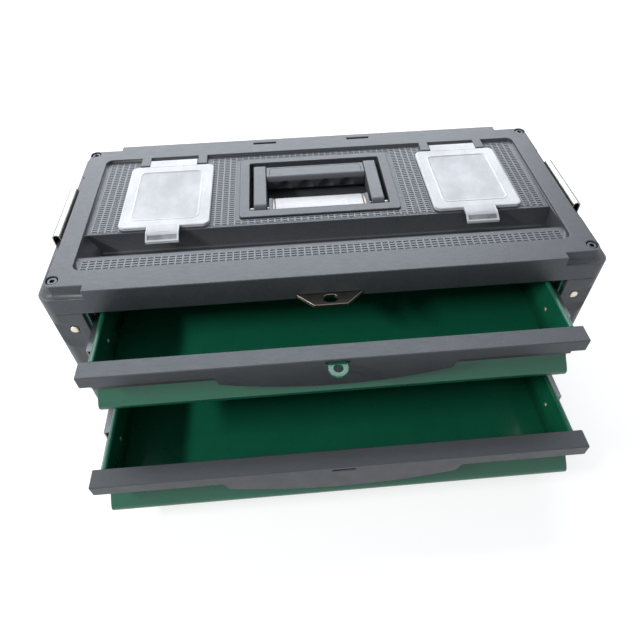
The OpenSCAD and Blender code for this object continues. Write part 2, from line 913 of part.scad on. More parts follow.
module lid(side) {
    low = lid_z;
    tab_z = lid_z + lid_h - tab_t;
    front = lid_front_y;
    bend_y = front - tab_len / 2;
    color(milky, 0.6)
        translate([lid_centre(side), 0, 0])
            union() {
                translate([0, lid_y, 0])
                    difference() {
                        rounded_block(lid_w, lid_d, low, lid_h, lid_r);
                        rounded_block(lid_w - 2 * lid_rim, lid_d - 2 * lid_rim, low - cut,
                                      lid_h - lid_t - lid_sink + cut, lid_r - lid_rim);
                        rounded_block(lid_w - 2 * lid_frame, lid_d - 2 * lid_frame,
                                      low + lid_h - lid_sink, lid_sink + cut, window_r);
                    }
                along_x(tab_w)
                    polygon([
                        [front + lid_rim, tab_z + tab_t],
                        [bend_y, tab_z + tab_t],
                        [front - tab_len, tab_z + tab_t - tab_fall],
                        [front - tab_len, tab_z - tab_fall],
                        [bend_y, tab_z],
                        [front + lid_rim, tab_z]
                    ]);
                span([-hinge_w / 2, hinge_y - hinge_back - lid_rim, low], [hinge_w / 2, hinge_y, hinge_z + hinge_r]);
                translate([0, hinge_y, hinge_z])
                    rod_x(-hinge_w / 2, hinge_w / 2, hinge_r);
                translate([0, hinge_y, hinge_z])
                    rod_x(-hinge_w / 2 - stub_len, hinge_w / 2 + stub_len, stub_r);
            }
}
module left_lid() { lid(-1); }
module right_lid() { lid(1); }

// ---------------------------------------------------------------- handle

module handle_housing() {
    outer_w = bay_w + 2 * bay_t;
    outer_d = bay_d + 2 * bay_t;
    color(plastic)
        difference() {
            union() {
                difference() {
                    union() {
                        translate([0, frame_y + frame_d / 2, 0])
                            rounded_block(frame_w, frame_d, field_z, frame_t, frame_r);
                        translate([0, bay_y + bay_d / 2, 0])
                            rounded_block(outer_w, outer_d, bay_z - bay_t,
                                          bay_depth + bay_t + frame_t / 2, bay_r + bay_t);
                    }
                    translate([0, bay_y + bay_d / 2, 0])
                        rounded_block(bay_w, bay_d, bay_z, bay_depth + frame_t + cut, bay_r);
                }
                span([-block_w / 2, bay_y - cut, bay_z - cut], [block_w / 2, block_y + block_d, block_top]);
                for (side = [-1, 1])
                    on_side(side)
                        span([block_w / 2 - cap_w, block_y, block_top - cut],
                             [block_w / 2, block_y + block_d, cap_top]);
            }
            for (side = [-1, 1])
                on_side(side)
                    translate([0, pivot_y, pivot_z])
                        rod_x(block_w / 2 - pin_seat, bay_w / 2 + bay_t + cut, pin_r + pin_hold);
        }
}

module nameplate() {
    color(zinc)
        span([cap_w - block_w / 2, block_y + plate_margin, block_top],
             [block_w / 2 - cap_w, block_y + block_d - plate_margin, block_top + plate_t]);
}

module handle_pins() {
    color(zinc)
        for (side = [-1, 1])
            on_side(side)
                translate([0, pivot_y, pivot_z])
                    rod_x(block_w / 2 - pin_seat, bay_w / 2 + bay_t, pin_r);
}

module handle_arms() {
    color(plastic)
        union() {
            for (side = [-1, 1])
                on_side(side)
                    difference() {
                        union() {
                            translate([0, pivot_y, pivot_z])
                                rod_x(arm_x, arm_x + arm_w, arm_h / 2);
                            span([arm_x, pivot_y, pivot_z - arm_h / 2],
                                 [arm_x + arm_w, pivot_y + arm_len, pivot_z + arm_h / 2]);
                        }
                        translate([0, pivot_y, pivot_z])
                            rod_x(arm_x - cut, arm_x + arm_w + cut, pin_r + pin_fit);
                    }
            translate([0, grip_y, grip_z])
                rod_x(-arm_x - cut, arm_x + cut, bar_r);
        }
}

module handle_grip() {
    grip_w = 2 * (arm_x - grip_gap);
    first = -(scallops - 1) / 2 * scallop_pitch;
    color(plastic)
        difference() {
            translate([0, grip_y, grip_z])
                along_x(grip_w)
                    rounded_rect(grip_d, grip_h, grip_r);
            translate([0, grip_y, grip_z])
                rod_x(-grip_w, grip_w, bar_r + pin_hold);
            for (i = [0:scallops - 1])
                translate([first + i * scallop_pitch,
                           grip_y - grip_d / 2 - scallop_r + scallop_depth,
                           grip_z - scallop_drop])
                    sphere(r = scallop_r);
        }
}

// ---------------------------------------------------------------- latches

// Lever of a side latch: plate, a hook rolled over its top and two lugs at its pin
module latch(side) {
    x2 = latch_x + latch_t;
    low = latch_z + latch_lug_r + lug_gap;
    hook_r = hook_w / 2;
    color(zinc)
        on_side(side)
            difference() {
                union() {
                    span([latch_x, latch_end, low], [x2, latch_end + latch_len, top_z - hook_r]);
                    span([x2 - hook_w, latch_end, ledge_z + hook_gap],
                         [x2 - hook_w + latch_t, latch_end + latch_len, top_z - hook_r]);
                    translate([0, latch_end, 0])
                        along_y(latch_len)
                            translate([x2 - hook_r, top_z - hook_r])
                                difference() {
                                    circle(hook_r);
                                    circle(hook_r - latch_t);
                                    translate([-hook_w, -hook_w])
                                        square([2 * hook_w, hook_w]);
                                }
                    for (y = [latch_end, latch_end + latch_len - latch_t]) {
                        span([latch_pin_x - latch_pin_r, y, latch_z], [x2, y + latch_t, low + bracket_h / 2]);
                        translate([latch_pin_x, 0, latch_z])
                            rod_y(y, y + latch_t, latch_lug_r);
                    }
                }
                translate([latch_pin_x, 0, latch_z])
                    rod_y(latch_end - cut, latch_end + latch_len + cut, latch_pin_r + pin_fit);
            }
}
module left_latch() { latch(-1); }
module right_latch() { latch(1); }

// Bracket on the steel side, with a knuckle near each end of the pin
module latch_bracket(side) {
    inset = latch_t + lug_gap;
    color(dark_steel)
        on_side(side)
            difference() {
                union() {
                    span([skin_x, latch_end + inset, latch_z - bracket_h / 2],
                         [skin_x + latch_t / 2, latch_end + latch_len - inset, latch_z + bracket_h / 2]);
                    for (y = [latch_end + inset, latch_end + latch_len - inset - knuckle_w]) {
                        span([skin_x, y, latch_z - latch_lug_r], [latch_pin_x, y + knuckle_w, latch_z + latch_lug_r]);
                        translate([latch_pin_x, 0, latch_z])
                            rod_y(y, y + knuckle_w, latch_lug_r);
                    }
                }
                translate([latch_pin_x, 0, latch_z])
                    rod_y(latch_end - cut, latch_end + latch_len + cut, latch_pin_r + pin_hold);
            }
}
module left_latch_bracket() { latch_bracket(-1); }
module right_latch_bracket() { latch_bracket(1); }

module latch_pin(side) {
    color(zinc)
        on_side(side)
            translate([latch_pin_x, 0, latch_z])
                rod_y(latch_end - pin_over, latch_end + latch_len + pin_over, latch_pin_r);
}
module left_latch_pin() { latch_pin(-1); }
module right_latch_pin() { latch_pin(1); }

// ---------------------------------------------------------------- padlock

module lock_plate() {
    tail_w = lock_w - 2 * tail_inset;
    z2 = lock_bottom + lock_t;
    color(zinc)
        difference() {
            union() {
                translate([0, 0, lock_bottom])
                    linear_extrude(lock_t)
                        polygon([
                            [-lock_w / 2, front_y + wall + tail_t],
                            [lock_w / 2, front_y + wall + tail_t],
                            [lock_w / 2, front_y],
                            [lock_front_w / 2, front_y - lock_out],
                            [-lock_front_w / 2, front_y - lock_out],
                            [-lock_w / 2, front_y]
                        ]);
                span([-tail_w / 2, front_y + wall, lock_bottom], [tail_w / 2, front_y + wall + tail_t, z2 + lock_tail]);
            }
            translate([0, front_y - eye_out, lock_bottom - cut])
                linear_extrude(lock_t + 2 * cut)
                    union() {
                        square([lock_eye_long, 2 * lock_eye_r], center = true);
                        for (s = [-1, 1])
                            translate([s * lock_eye_long / 2, 0])
                                circle(lock_eye_r);
                    }
        }
}

// ---------------------------------------------------------------- drawers

// Places its children at a drawer's front, y back from the pull bar's face and
// z up from the drawer's top
module at_drawer(open, top) {
    translate([0, front_y - open, top])
        children();
}

module tray(open, top) {
    y1 = web_set + bar_t + steel;
    y2 = body_d - wall - steel - tray_rear;
    in_x = tray_x - steel;
    roll = roll_out - roll_r;
    color(green)
        at_drawer(open, top)
            difference() {
                union() {
                    difference() {
                        span([-tray_x, y1, steel - drawer_h], [tray_x, y2, -roll_r]);
                        span([-in_x, y1 + steel, 2 * steel - drawer_h], [in_x, y2 - steel, cut]);
                    }
                    for (side = [-1, 1])
                        translate([side * (tray_x + roll), 0, -roll_r])
                            rod_y(y1, y2 + roll, roll_r);
                    translate([0, y2 + roll, -roll_r])
                        rod_x(-tray_x - roll, tray_x + roll, roll_r);
                    for (side = [-1, 1])
                        translate([side * (tray_x + roll), y2 + roll, -roll_r])
                            sphere(roll_r);
                }
                span([-body_w, y1 - cut, -bar_t], [body_w, bar_depth, cut]);
                drawer_rivet_places()
                    rod_x(tray_x - 2 * steel, tray_x + cut, drawer_rivet_r + pin_hold);
            }
}
module upper_tray() { tray(upper_open, upper_top); }
module lower_tray() { tray(lower_open, lower_top); }

// Places its children at the right-hand and left-hand rivets of a drawer
module drawer_rivet_places() {
    for (side = [-1, 1], i = [0:1])
        on_side(side)
            translate([0, drawer_rivet_y + i * drawer_rivet_pitch, -slide_drop])
                children();
}

module drawer_rivets(open, top) {
    color(brass)
        at_drawer(open, top)
            drawer_rivet_places()
                union() {
                    rod_x(tray_x - steel - rivet_cap, tray_x - steel, drawer_rivet_head);
                    rod_x(tray_x - steel - rivet_cap / 2, tray_x + rail_t, drawer_rivet_r);
                }
}
module upper_drawer_rivets() { drawer_rivets(upper_open, upper_top); }
module lower_drawer_rivets() { drawer_rivets(lower_open, lower_top); }

// Steel front: straight behind the web, swelling forward below it, and bent
// back under the drawer's box. t is the offset from the outer face.
function swell(u) = (web_set + bar_t) * (1 + cos(180 * u)) / 2;
function front_face(t) = concat(
    [[web_set + bar_t + t, -bar_t]],
    [for (i = [0:profile_steps])
        [swell(i / profile_steps) + t, -swell_top - (swell_end - swell_top) * i / profile_steps]],
    [for (i = [0:profile_steps / 2])
        [bend_r - (bend_r - t) * cos(180 * i / profile_steps),
         -drawer_h + bend_r - (bend_r - t) * sin(180 * i / profile_steps)]]
);
function reversed(points) = [for (i = [len(points) - 1:-1:0]) points[i]];

module steel_front(open, top) {
    flange_y = web_set + bar_t + foot_len;
    half = tray_x + front_over;
    color(green)
        at_drawer(open, top)
            intersection() {
                along_x(2 * half)
                    polygon(concat(
                        front_face(0),
                        [[flange_y, -drawer_h], [flange_y, -drawer_h + steel]],
                        reversed(front_face(steel))
                    ));
                translate([0, -cut, 0])
                    along_y(flange_y + 2 * cut)
                        translate([0, (front_r - drawer_h) / 2])
                            rounded_rect(2 * half, drawer_h + front_r, front_r);
            }
}
module upper_front() { steel_front(upper_open, upper_top); }
module lower_front() { steel_front(lower_open, lower_top); }

// Outline of the pull bar's front: shallow at the ends, deep and bowed between
module lip_outline() {
    inner = dip_w / 2 - dip_step;
    steps = 2 * profile_steps;
    polygon(concat(
        [[-bar_x, 0], [bar_x, 0], [bar_x, -lip_h], [dip_w / 2, -lip_h]],
        [for (i = [0:steps])
            let (s = 1 - 2 * i / steps)
            [s * inner, -dip_mid + (dip_mid - dip_side) * s * s]],
        [[-dip_w / 2, -lip_h], [-bar_x, -lip_h]]
    ));
}

module pull_bar(open, top) {
    color(plastic)
        at_drawer(open, top)
            difference() {
                union() {
                    span([-bar_x, 0, -bar_t], [bar_x, bar_depth, 0]);
                    along_y(bar_t)
                        lip_outline();
                    span([-bar_x + web_inset, web_set, -web_h], [bar_x - web_inset, web_set + bar_t, 0]);
                    for (side = [-1, 1])
                        on_side(side)
                            span([bar_x - bar_t, 0, -lip_h], [bar_x, web_set, 0]);
                }
                span([-bar_slot, -cut, -tongue_drop - tongue_t - tongue_fit],
                     [bar_slot, web_set + bar_t + cut, -tongue_drop + tongue_fit]);
            }
}
module upper_pull_bar() { pull_bar(upper_open, upper_top); }
module lower_pull_bar() { pull_bar(lower_open, lower_top); }

module padlock_tab() {
    color(green)
        at_drawer(upper_open, upper_top)
            translate([0, 0, -tongue_drop - tongue_t])
                difference() {
                    union() {
                        translate([0, -eye_out, 0])
                            cylinder(h = tongue_t, r = tongue_r);
                        span([-tongue_r, -eye_out, 0], [tongue_r, web_set + bar_t, tongue_t]);
                    }
                    translate([0, -eye_out, -cut])
                        cylinder(h = tongue_t + 2 * cut, r = eye_r);
                }
}

// ---------------------------------------------------------------- slides

// Places its children at a slide: x out from the drawer's side, y back from the
// rails' front ends with the drawer shut, z up from the slide's middle.
// share is the part of the drawer's opening that the piece has made.
module at_slide(side, open, top, share) {
    on_side(side)
        translate([tray_x, front_y + slide_set - share * open, top - slide_drop])
            children();
}

// Channel rail with its web between x1 and x1 + rail_t and its flanges to x2
module rail(x1, x2, h) {
    low = min(x1, x2);
    high = max(x1 + rail_t, x2);
    union() {
        span([x1, 0, -h / 2], [x1 + rail_t, slide_len, h / 2]);
        for (z = [-h / 2, h / 2 - rail_t])
            span([low, 0, z], [high, slide_len, z + rail_t]);
    }
}

module outer_rail(side, open, top) {
    color(zinc)
        at_slide(side, open, top, 0)
            rail(slide_t - rail_t, rail_open, slide_h);
}
module middle_rail(side, open, top) {
    color(zinc)
        at_slide(side, open, top, middle_share)
            rail(slide_t - 2 * rail_t - middle_clear, rail_open, middle_h);
}
module inner_rail(side, open, top) {
    color(zinc)
        difference() {
            at_slide(side, open, top, 1)
                rail(0, slide_t - 2 * rail_t - 2 * middle_clear, inner_h);
            at_drawer(open, top)
                drawer_rivet_places()
                    rod_x(tray_x - cut, tray_x + rail_t + cut, drawer_rivet_r + pin_hold);
        }
}

// Cages with their balls, above and below the middle of both slides.
// race is the height of the balls' row from the slide's middle.
module cages(open, top, share, race) {
    row = (balls - 1) * ball_pitch;
    row_x = (rail_open + slide_t - 2 * rail_t - middle_clear) / 2;
    color(zinc)
        for (side = [-1, 1])
            at_slide(side, open, top, share)
                for (s = [-1, 1])
                    translate([row_x, cage_set, s * race])
                        union() {
                            span([-cage_w / 2, 0, -cage_t / 2], [cage_w / 2, cage_len, cage_t / 2]);
                            for (i = [0:balls - 1])
                                translate([0, (cage_len - row) / 2 + i * ball_pitch, 0])
                                    sphere(ball_r);
                        }
}
outer_race = slide_h / 2 - rail_t - ball_slot / 2;
inner_race = middle_h / 2 - rail_t - ball_slot / 2;

module upper_left_outer_rail() { outer_rail(-1, upper_open, upper_top); }
module upper_right_outer_rail() { outer_rail(1, upper_open, upper_top); }
module lower_left_outer_rail() { outer_rail(-1, lower_open, lower_top); }
module lower_right_outer_rail() { outer_rail(1, lower_open, lower_top); }
module upper_left_middle_rail() { middle_rail(-1, upper_open, upper_top); }
module upper_right_middle_rail() { middle_rail(1, upper_open, upper_top); }
module lower_left_middle_rail() { middle_rail(-1, lower_open, lower_top); }
module lower_right_middle_rail() { middle_rail(1, lower_open, lower_top); }
module upper_left_inner_rail() { inner_rail(-1, upper_open, upper_top); }
module upper_right_inner_rail() { inner_rail(1, upper_open, upper_top); }
module lower_left_inner_rail() { inner_rail(-1, lower_open, lower_top); }
module lower_right_inner_rail() { inner_rail(1, lower_open, lower_top); }
module upper_outer_cages() { cages(upper_open, upper_top, middle_share / 2, outer_race); }
module upper_inner_cages() { cages(upper_open, upper_top, (1 + middle_share) / 2, inner_race); }
module lower_outer_cages() { cages(lower_open, lower_top, middle_share / 2, outer_race); }
module lower_inner_cages() { cages(lower_open, lower_top, (1 + middle_share) / 2, inner_race); }

base_tray();
cabinet_shell();
left_slide_wall();
right_slide_wall();
divider_rail();
front_left_post();
front_right_post();
rear_left_post();
rear_right_post();
post_rivets();
top_cover();
cover_screws();
handle_housing();
nameplate();
handle_pins();
lock_plate();
left_latch_bracket();
right_latch_bracket();
left_latch_pin();
right_latch_pin();
upper_left_outer_rail();
upper_right_outer_rail();
lower_left_outer_rail();
lower_right_outer_rail();
handle_arms();
handle_grip();
left_lid();
right_lid();
left_latch();
right_latch();
upper_tray();
upper_front();
upper_pull_bar();
padlock_tab();
upper_drawer_rivets();
upper_left_inner_rail();
upper_right_inner_rail();
lower_tray();
lower_front();
lower_pull_bar();
lower_drawer_rivets();
lower_left_inner_rail();
lower_right_inner_rail();
upper_left_middle_rail();
upper_right_middle_rail();
lower_left_middle_rail();
lower_right_middle_rail();
upper_outer_cages();
upper_inner_cages();
lower_outer_cages();
lower_inner_cages();
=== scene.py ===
import json
import math

import bmesh
import bpy
from mathutils import Matrix, Vector


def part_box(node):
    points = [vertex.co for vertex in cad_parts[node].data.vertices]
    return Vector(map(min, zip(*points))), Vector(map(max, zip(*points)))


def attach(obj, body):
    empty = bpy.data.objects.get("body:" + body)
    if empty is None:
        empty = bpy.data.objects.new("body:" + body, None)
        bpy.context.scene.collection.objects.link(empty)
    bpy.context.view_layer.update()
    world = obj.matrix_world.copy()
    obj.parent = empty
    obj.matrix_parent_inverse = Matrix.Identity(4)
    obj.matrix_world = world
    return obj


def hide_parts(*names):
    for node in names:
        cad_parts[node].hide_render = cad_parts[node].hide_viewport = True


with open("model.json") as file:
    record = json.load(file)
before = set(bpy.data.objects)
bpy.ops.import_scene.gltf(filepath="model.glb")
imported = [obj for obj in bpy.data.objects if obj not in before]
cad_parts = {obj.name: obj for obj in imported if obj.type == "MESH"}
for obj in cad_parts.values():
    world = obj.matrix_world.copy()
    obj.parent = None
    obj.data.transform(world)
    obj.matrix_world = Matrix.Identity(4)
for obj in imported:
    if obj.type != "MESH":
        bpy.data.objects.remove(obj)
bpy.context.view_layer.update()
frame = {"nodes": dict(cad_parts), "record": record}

MM = 0.001
SCENE = bpy.context.scene
SLOTS = {part["node"]: part["material_slot"] for part in frame["record"]["subparts"]}
BODY_OF = {node: body for body, nodes in frame["record"]["behaviour"]["bodies"].items() for node in nodes}


# ------------------------------------------------------------------ camera

def turn(axis, degrees):
    return Matrix.Rotation(math.radians(degrees), 3, axis)


CAMERA_PLACE = Vector((-31.66, -451.23, 496.83)) * MM
CAMERA_TURN = turn("X", 138.401) @ turn("Y", -0.822) @ turn("Z", 4.739)

cam_data = bpy.data.cameras.new("camera")
cam_data.lens = 30.149
cam_data.sensor_width = 36.0
cam_data.clip_start = 0.01
cam = bpy.data.objects.new("camera", cam_data)
SCENE.collection.objects.link(cam)
axes = Matrix((CAMERA_TURN[0], -CAMERA_TURN[1], -CAMERA_TURN[2])).transposed()
cam.matrix_world = Matrix.Translation(CAMERA_PLACE) @ axes.to_4x4()
SCENE.camera = cam


# --------------------------------------------------------------- materials

class Shader:
    """A material built from nodes, with short calls for what the finishes below share."""

    def __init__(self, name):
        self.material = bpy.data.materials.new(name)
        self.material.use_nodes = True
        self.tree = self.material.node_tree
        self.tree.nodes.clear()
        self.output = self.tree.nodes.new("ShaderNodeOutputMaterial")
        self.surface = self.tree.nodes.new("ShaderNodeBsdfPrincipled")
        self.link(self.surface.outputs[0], self.output.inputs["Surface"])
        self.place = self.tree.nodes.new("ShaderNodeTexCoord").outputs["Object"]

    def link(self, source, target):
        self.tree.links.new(source, target)

    def put(self, socket, value):
        """Links a node's output to a socket, or sets the socket to a plain value."""
        if isinstance(value, bpy.types.NodeSocket):
            self.link(value, socket)
        else:
            socket.default_value = value

    def set(self, **values):
        for key, value in values.items():
            name = key.replace("_", " ").title().replace("Ior", "IOR")
            self.put(self.surface.inputs[name], value)

    def stretched(self, scale):
        node = self.tree.nodes.new("ShaderNodeMapping")
        node.inputs["Scale"].default_value = scale
        self.link(self.place, node.inputs["Vector"])
        return node.outputs[0]

    def noise(self, size_mm, detail=2.0, roughness=0.5, stretch=(1, 1, 1)):
        node = self.tree.nodes.new("ShaderNodeTexNoise")
        self.link(self.stretched(stretch), node.inputs["Vector"])
        node.inputs["Scale"].default_value = 1000.0 / size_mm
        node.inputs["Detail"].default_value = detail
        node.inputs["Roughness"].default_value = roughness
        return node.outputs["Fac"]

    def cells(self, size_mm):
        node = self.tree.nodes.new("ShaderNodeTexVoronoi")
        self.link(self.place, node.inputs["Vector"])
        node.inputs["Scale"].default_value = 1000.0 / size_mm
        return node.outputs["Distance"]

    def range(self, value, low, high, to_low=0.0, to_high=1.0):
        node = self.tree.nodes.new("ShaderNodeMapRange")
        self.link(value, node.inputs["Value"])
        for key, number in (("From Min", low), ("From Max", high), ("To Min", to_low), ("To Max", to_high)):
            node.inputs[key].default_value = number
        return node.outputs["Result"]

    def math(self, operation, a, b):
        node = self.tree.nodes.new("ShaderNodeMath")
        node.operation = operation
        self.put(node.inputs[0], a)
        self.put(node.inputs[1], b)
        return node.outputs[0]

    def blend(self, factor, colour_a, colour_b):
        node = self.tree.nodes.new("ShaderNodeMix")
        node.data_type = "RGBA"
        self.put(node.inputs["Factor"], factor)
        self.put(node.inputs["A"], colour_a)
        self.put(node.inputs["B"], colour_b)
        return node.outputs["Result"]

    def height(self):
        node = self.tree.nodes.new("ShaderNodeSeparateXYZ")
        self.link(self.place, node.inputs[0])
        return node.outputs["Z"]

    def bump(self, height, depth_mm, strength=1.0, under=None):
        node = self.tree.nodes.new("ShaderNodeBump")
        node.inputs["Strength"].default_value = strength
        node.inputs["Distance"].default_value = depth_mm * MM
        self.link(height, node.inputs["Height"])
        if under is not None:
            self.link(under, node.inputs["Normal"])
        return node.outputs["Normal"]

    def let_through(self, share):
        """Lets a share of the light straight through, as thin milky plastic does."""
        mix = self.tree.nodes.new("ShaderNodeMixShader")
        clear = self.tree.nodes.new("ShaderNodeBsdfTransparent")
        self.put(mix.inputs["Fac"], share)
        self.link(self.surface.outputs[0], mix.inputs[1])
        self.link(clear.outputs[0], mix.inputs[2])
        self.link(mix.outputs[0], self.output.inputs["Surface"])


def rgb(red, green, blue):
    return (red, green, blue, 1.0)


PLASTIC = (0.05, 0.052, 0.057)
PLASTIC_SHINE = 0.65
PLASTIC_SHEEN = rgb(0.86, 0.93, 1.0)
DUST = rgb(0.2, 0.2, 0.2)

# The cover's sunken field lies this far under the housing's top, and the net's tiles stand up from it
FIELD_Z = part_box("handle_housing")[1][2] - 2.0 * MM
NET_RISE = 0.28 * MM


def scaled(tone, share):
    """A tone made darker or lighter."""
    return tuple(share * v for v in tone)


def moulded_plastic(name, tone, rough=0.46, grain_mm=1.0, grain_depth=0.06):
    """Black moulded plastic: leather-like grain, faint clouds and scuffs, and pale specks of dust."""
    s = Shader(name)
    clouds = s.noise(42, 3, 0.55)
    grain = s.noise(grain_mm, 2, 0.6)
    pits = s.cells(grain_mm * 1.7)
    specks = s.range(s.noise(0.9, 1, 0.5), 0.68, 0.8)
    base = s.blend(clouds, rgb(*scaled(tone, 0.72)), rgb(*scaled(tone, 1.25)))
    base = s.blend(s.range(grain, 0.35, 0.7, 0.0, 0.5), base, rgb(*scaled(tone, 2.1)))
    base = s.blend(s.math("MULTIPLY", specks, 0.25), base, DUST)
    scuffs = s.noise(11, 4, 0.65, (1, 5, 1))
    s.set(base_color=base, specular_ior_level=PLASTIC_SHINE, specular_tint=PLASTIC_SHEEN,
          roughness=s.math("ADD", s.range(scuffs, 0.3, 0.7, rough - 0.05, rough + 0.06),
                           s.range(grain, 0.3, 0.7, -0.04, 0.04)))
    rough_skin = s.bump(grain, grain_depth * 1.6, 0.8)
    s.set(normal=s.bump(pits, grain_depth, 0.7, rough_skin))
    return s.material


def tile_plastic(name, tone):
    """The cover's plastic on the cross-hatched net: duller down in its dimples, and darker there with
    painted shade.
    """
    s = Shader(name)
    grain = s.noise(0.6, 2, 0.6)
    deep = s.range(s.height(), FIELD_Z, FIELD_Z + NET_RISE * 0.65, 1.0, 0.0)
    base = s.blend(s.noise(35, 3), rgb(*tone), rgb(*scaled(tone, 1.3)))
    # Painted shade: the dimples' floors and lower sides are darkened by depth, as if shade lay in them
    base = s.blend(deep, base, rgb(*scaled(tone, 0.3)))
    weave = s.noise(1.4, 1, 0.5, (1, 1.8, 1))
    shine = s.range(deep, 0, 1, 1.4 * PLASTIC_SHINE, 0.15 * PLASTIC_SHINE)
    s.set(base_color=base, specular_ior_level=shine, specular_tint=PLASTIC_SHEEN,
          roughness=s.range(deep, 0, 1, 0.42, 0.62))
    s.set(normal=s.bump(weave, 0.12, 0.8, s.bump(grain, 0.05, 0.8)))
    return s.material


def green_paint(name):
    """Glossy baked paint on sheet steel, with a faint orange peel and thin clouds."""
    s = Shader(name)
    peel = s.noise(2.6, 2, 0.5)
    fine = s.noise(0.5, 1, 0.5)
    clouds = s.noise(55, 3, 0.6)
    s.set(base_color=s.blend(clouds, rgb(0.007, 0.135, 0.072), rgb(0.01, 0.17, 0.092)),
          roughness=s.range(s.noise(14, 3), 0.3, 0.7, 0.26, 0.36),
          specular_ior_level=0.5, coat_weight=0.3, coat_roughness=0.1)
    s.set(normal=s.bump(peel, 0.05, 0.35, s.bump(fine, 0.01, 0.5)))
    return s.material


def plated_steel(name, tone, rough, mottle=0.2, brush=(1, 8, 1), metal=1.0):
    """Plated steel: fine rolling marks one way and the soft mottle of the plating."""
    s = Shader(name)
    marks = s.noise(0.8, 3, 0.6, brush)
    spots = s.cells(3.2)
    clouds = s.noise(9, 3, 0.6)
    pale = rgb(*(min(1.0, v) for v in scaled(tone, 1 + mottle)))
    base = s.blend(clouds, rgb(*scaled(tone, 1 - mottle)), pale)
    s.set(base_color=base, metallic=metal,
          roughness=s.math("ADD", s.range(marks, 0.3, 0.7, rough - 0.06, rough + 0.08),
                           s.range(spots, 0.0, 0.6, -0.03, 0.03)))
    s.set(normal=s.bump(marks, 0.02, 0.5))
    return s.material


def milky_plastic(name, tone, through, rough=0.22):
    """Milky see-through plastic: a soft white body, flow clouds and a shiny skin."""
    s = Shader(name)
    clouds = s.noise(26, 3, 0.6, (1, 0.6, 1))
    ripple = s.noise(5, 2, 0.5)
    base = s.blend(s.range(clouds, 0.35, 0.65), rgb(*scaled(tone, 0.86)), rgb(*tone))
    s.set(base_color=base, roughness=s.range(s.noise(1.2, 2), 0.3, 0.7, rough, rough + 0.1),
          subsurface_weight=0.25, subsurface_radius=(0.004, 0.004, 0.005), specular_ior_level=0.3,
          normal=s.bump(ripple, 0.04, 0.35))
    s.let_through(s.range(clouds, 0.35, 0.65, through * 1.35, through * 0.65))
    return s.material


MATERIALS = {
    "black_plastic": moulded_plastic("black_plastic", PLASTIC),
    "green_steel": green_paint("green_steel"),
    "zinc_steel": plated_steel("zinc_steel", (0.38, 0.38, 0.37), 0.36),
    "dark_steel": plated_steel("dark_steel", (0.09, 0.09, 0.1), 0.38),
    "lock_steel": plated_steel("lock_steel", (0.19, 0.17, 0.15), 0.3, 0.25, (8, 1, 1)),
    "plate_metal": plated_steel("plate_metal", (0.3, 0.3, 0.31), 0.5, 0.08, (1, 14, 1)),
    "rivet_brass": plated_steel("rivet_brass", (0.8, 0.64, 0.4), 0.4, metal=0.7),
    "clear_plastic": milky_plastic("clear_plastic", (0.76, 0.77, 0.785), 0.08),
}
WINDOW = milky_plastic("clear_window", (0.7, 0.715, 0.735), 0.2, 0.2)
LID_EDGE = milky_plastic("clear_edge", (0.86, 0.87, 0.88), 0.02)
LID_PAD = milky_plastic("clear_pad", (0.6, 0.63, 0.66), 0.55, 0.2)
TILES = tile_plastic("tile_plastic", scaled(PLASTIC, 1.2))
SMOOTH_PLASTIC = moulded_plastic("smooth_plastic", PLASTIC, 0.42, 0.5, 0.012)
RIVET = plated_steel("rivet_head", (0.68, 0.62, 0.52), 0.3)
# Painted shade: a darker plastic for the strip that stands for the shade in the grip's joint groove
SEAM_SHADE = moulded_plastic("seam_painted_shade", scaled(PLASTIC, 0.3), 0.6)
SLIDE = plated_steel("slide_steel", (0.2, 0.21, 0.23), 0.36)


# ------------------------------------------------------------ mesh helpers

def node_object(node):
    found = frame["nodes"][node]
    return found if hasattr(found, "data") else bpy.data.objects[found]


def add_piece(name, bm, node, materials=None, smooth_deg=38, stands_for=True):
    """Makes an object of a bmesh. It rides on the node's body, takes its slot and stands for the node."""
    mesh = bpy.data.meshes.new(name)
    bm.normal_update()
    bm.to_mesh(mesh)
    bm.free()
    mesh.shade_smooth()
    mesh.set_sharp_from_angle(angle=math.radians(smooth_deg))
    for material in materials or [MATERIALS[SLOTS[node]]]:
        mesh.materials.append(material)
    piece = bpy.data.objects.new(name, mesh)
    SCENE.collection.objects.link(piece)
    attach(piece, BODY_OF[node])
    if stands_for:
        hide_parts(node)
    return piece


MANY_CORNERS = 16
BEVEL_STEPS = 3
SHORTEST_EDGE = 0.25 * MM
HARD_EDGE_DEG = 34


def clean_copy(node):
    """A bmesh of a CAD node, its facets joined into flat faces and the most winding ones split again."""
    bm = bmesh.new()
    bm.from_mesh(node_object(node).data)
    bmesh.ops.remove_doubles(bm, verts=bm.verts, dist=0.002 * MM)
    bmesh.ops.dissolve_limit(bm, angle_limit=math.radians(0.4), verts=bm.verts, edges=bm.edges)
    winding = [face for face in bm.faces if len(face.verts) > MANY_CORNERS]
    bmesh.ops.triangulate(bm, faces=winding, ngon_method="BEAUTY")
    return bm


def round_edges(bm, width):
    """Rounds the hard outer edges of a bmesh, apart from its shortest ones."""
    hard = [edge for edge in bm.edges
            if len(edge.link_faces) == 2 and edge.calc_length() > SHORTEST_EDGE
            and edge.calc_face_angle_signed(0.0) > math.radians(HARD_EDGE_DEG)]
    bmesh.ops.bevel(bm, geom=hard, offset=width, offset_type="OFFSET", profile_type="SUPERELLIPSE",
                    segments=BEVEL_STEPS, profile=0.5, affect="EDGES", clamp_overlap=False, loop_slide=False)


def rounded_node(node, width, materials=None):
    bm = clean_copy(node)
    round_edges(bm, width)
    piece = add_piece(node + "_rounded", bm, node, materials)
    normals = piece.modifiers.new("flat_faces", "WEIGHTED_NORMAL")
    normals.weight = 80
    normals.keep_sharp = True


